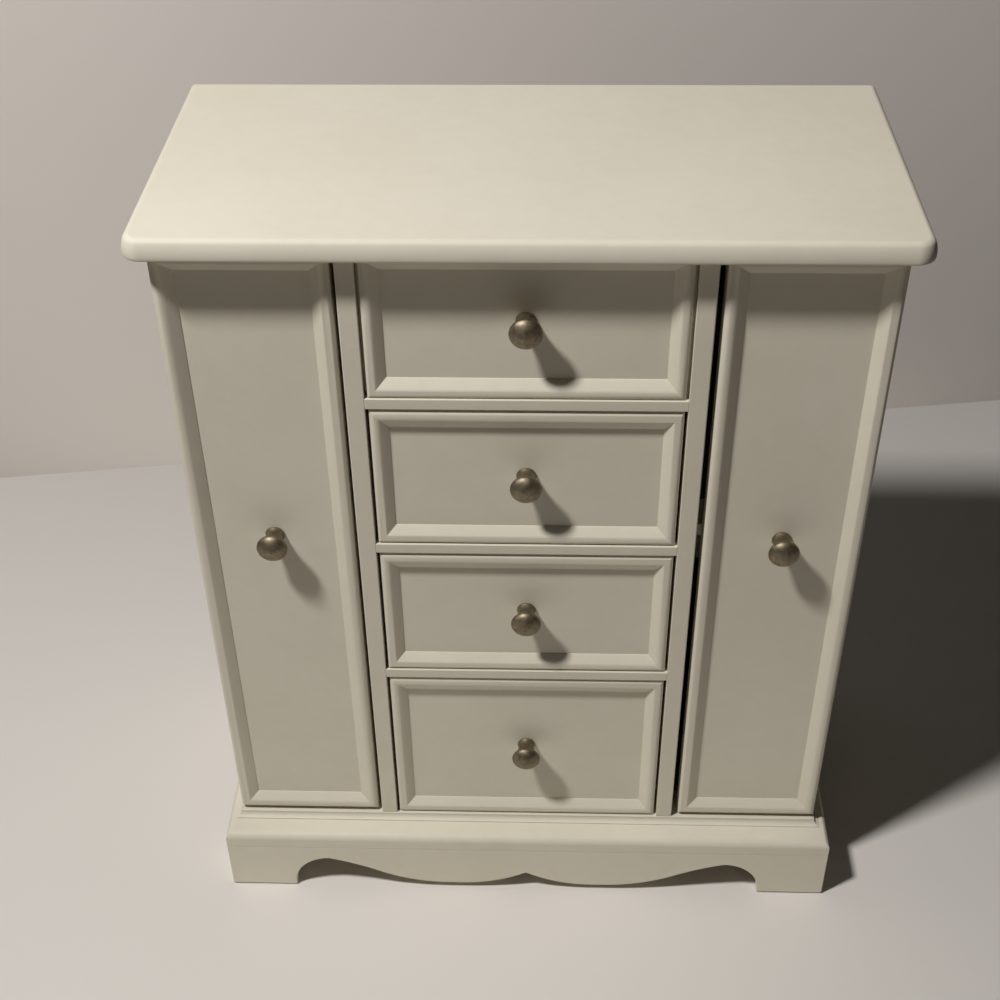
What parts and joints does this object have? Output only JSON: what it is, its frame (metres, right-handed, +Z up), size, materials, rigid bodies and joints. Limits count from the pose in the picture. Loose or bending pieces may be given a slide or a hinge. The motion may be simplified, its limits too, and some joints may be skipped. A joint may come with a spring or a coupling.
{
  "type": "jewellery chest",
  "caption": "Standing jewellery chest with a hinged lid over a ring well, drawers between two narrow doors, and a scalloped plinth.",
  "frame": {"origin": "under the middle of the chest, on the surface it stands on", "axes": "+Z up, +Y towards the back, +X to the right as seen from the front"},
  "size_m": [0.274, 0.1368, 0.3352],
  "materials": {
    "cream_paint": "satin cream paint over wood",
    "antique_pewter": "antique pewter, softly brushed",
    "brass": "polished",
    "mirror_glass": "silvered glass",
    "velvet_lining": "short pile velvet",
    "felt": "pressed felt",
    "bare_wood": "bare softwood",
    "nickel": "nickel plated"
  },
  "bodies": {
    "cabinet": {"front_apron": "cream_paint", "side_aprons": "cream_paint", "rear_apron": "cream_paint", "corner_blocks": "bare_wood", "felt_pads": "felt", "base_board": "cream_paint", "base_cove": "cream_paint", "cabinet_floor": "cream_paint", "left_side_panel": "cream_paint", "right_side_panel": "cream_paint", "left_partition": "cream_paint", "right_partition": "cream_paint", "upper_divider": "cream_paint", "middle_divider": "cream_paint", "lower_divider": "cream_paint", "back_panel": "cream_paint", "top_caps": "cream_paint", "false_front_panel": "cream_paint", "false_front_moulding": "cream_paint", "false_front_knob": "antique_pewter", "well_lining": "velvet_lining", "ring_cushion": "velvet_lining", "bay_linings": "velvet_lining", "door_stops": "cream_paint", "door_magnets": "nickel", "door_hinge_fixed_leaves": "brass", "lid_hinge_fixed_leaves": "brass", "hinge_pins": "brass"},
    "lid": {"lid_board": "cream_paint", "mirror_glass": "mirror_glass", "mirror_frame": "cream_paint", "lid_hinge_moving_leaves": "brass"},
    "upper_drawer": {"upper_drawer_front": "cream_paint", "upper_drawer_moulding": "cream_paint", "upper_drawer_knob": "antique_pewter", "upper_drawer_walls": "cream_paint", "upper_drawer_bottom": "cream_paint", "upper_drawer_lining": "velvet_lining"},
    "middle_drawer": {"middle_drawer_front": "cream_paint", "middle_drawer_moulding": "cream_paint", "middle_drawer_knob": "antique_pewter", "middle_drawer_walls": "cream_paint", "middle_drawer_bottom": "cream_paint", "middle_drawer_lining": "velvet_lining"},
    "lower_drawer": {"lower_drawer_front": "cream_paint", "lower_drawer_moulding": "cream_paint", "lower_drawer_knob": "antique_pewter", "lower_drawer_walls": "cream_paint", "lower_drawer_bottom": "cream_paint", "lower_drawer_lining": "velvet_lining"},
    "left_door": {"left_door_panel": "cream_paint", "left_door_moulding": "cream_paint", "left_door_knob": "antique_pewter", "left_door_hooks": "brass", "left_door_hinge_leaves": "brass"},
    "right_door": {"right_door_panel": "cream_paint", "right_door_moulding": "cream_paint", "right_door_knob": "antique_pewter", "right_door_hooks": "brass", "right_door_hinge_leaves": "brass"}
  },
  "joints": [
    {"name": "lid_hinge", "type": "hinge", "parent": "cabinet", "child": "lid", "pos_m": [0, 0.06685, 0.327], "axis": [-1, 0, 0], "range_deg": [0, 95]},
    {"name": "left_door_hinge", "type": "hinge", "parent": "cabinet", "child": "left_door", "pos_m": [-0.1303, -0.04675, 0.182], "axis": [0, 0, -1], "range_deg": [0, 110]},
    {"name": "right_door_hinge", "type": "hinge", "parent": "cabinet", "child": "right_door", "pos_m": [0.1303, -0.04675, 0.182], "axis": [0, 0, 1], "range_deg": [0, 110]},
    {"name": "upper_drawer_slide", "type": "slide", "parent": "cabinet", "child": "upper_drawer", "axis": [0, -1, 0], "range_m": [0, 0.085]},
    {"name": "middle_drawer_slide", "type": "slide", "parent": "cabinet", "child": "middle_drawer", "axis": [0, -1, 0], "range_m": [0, 0.085]},
    {"name": "lower_drawer_slide", "type": "slide", "parent": "cabinet", "child": "lower_drawer", "axis": [0, -1, 0], "range_m": [0, 0.085]}
  ]
}
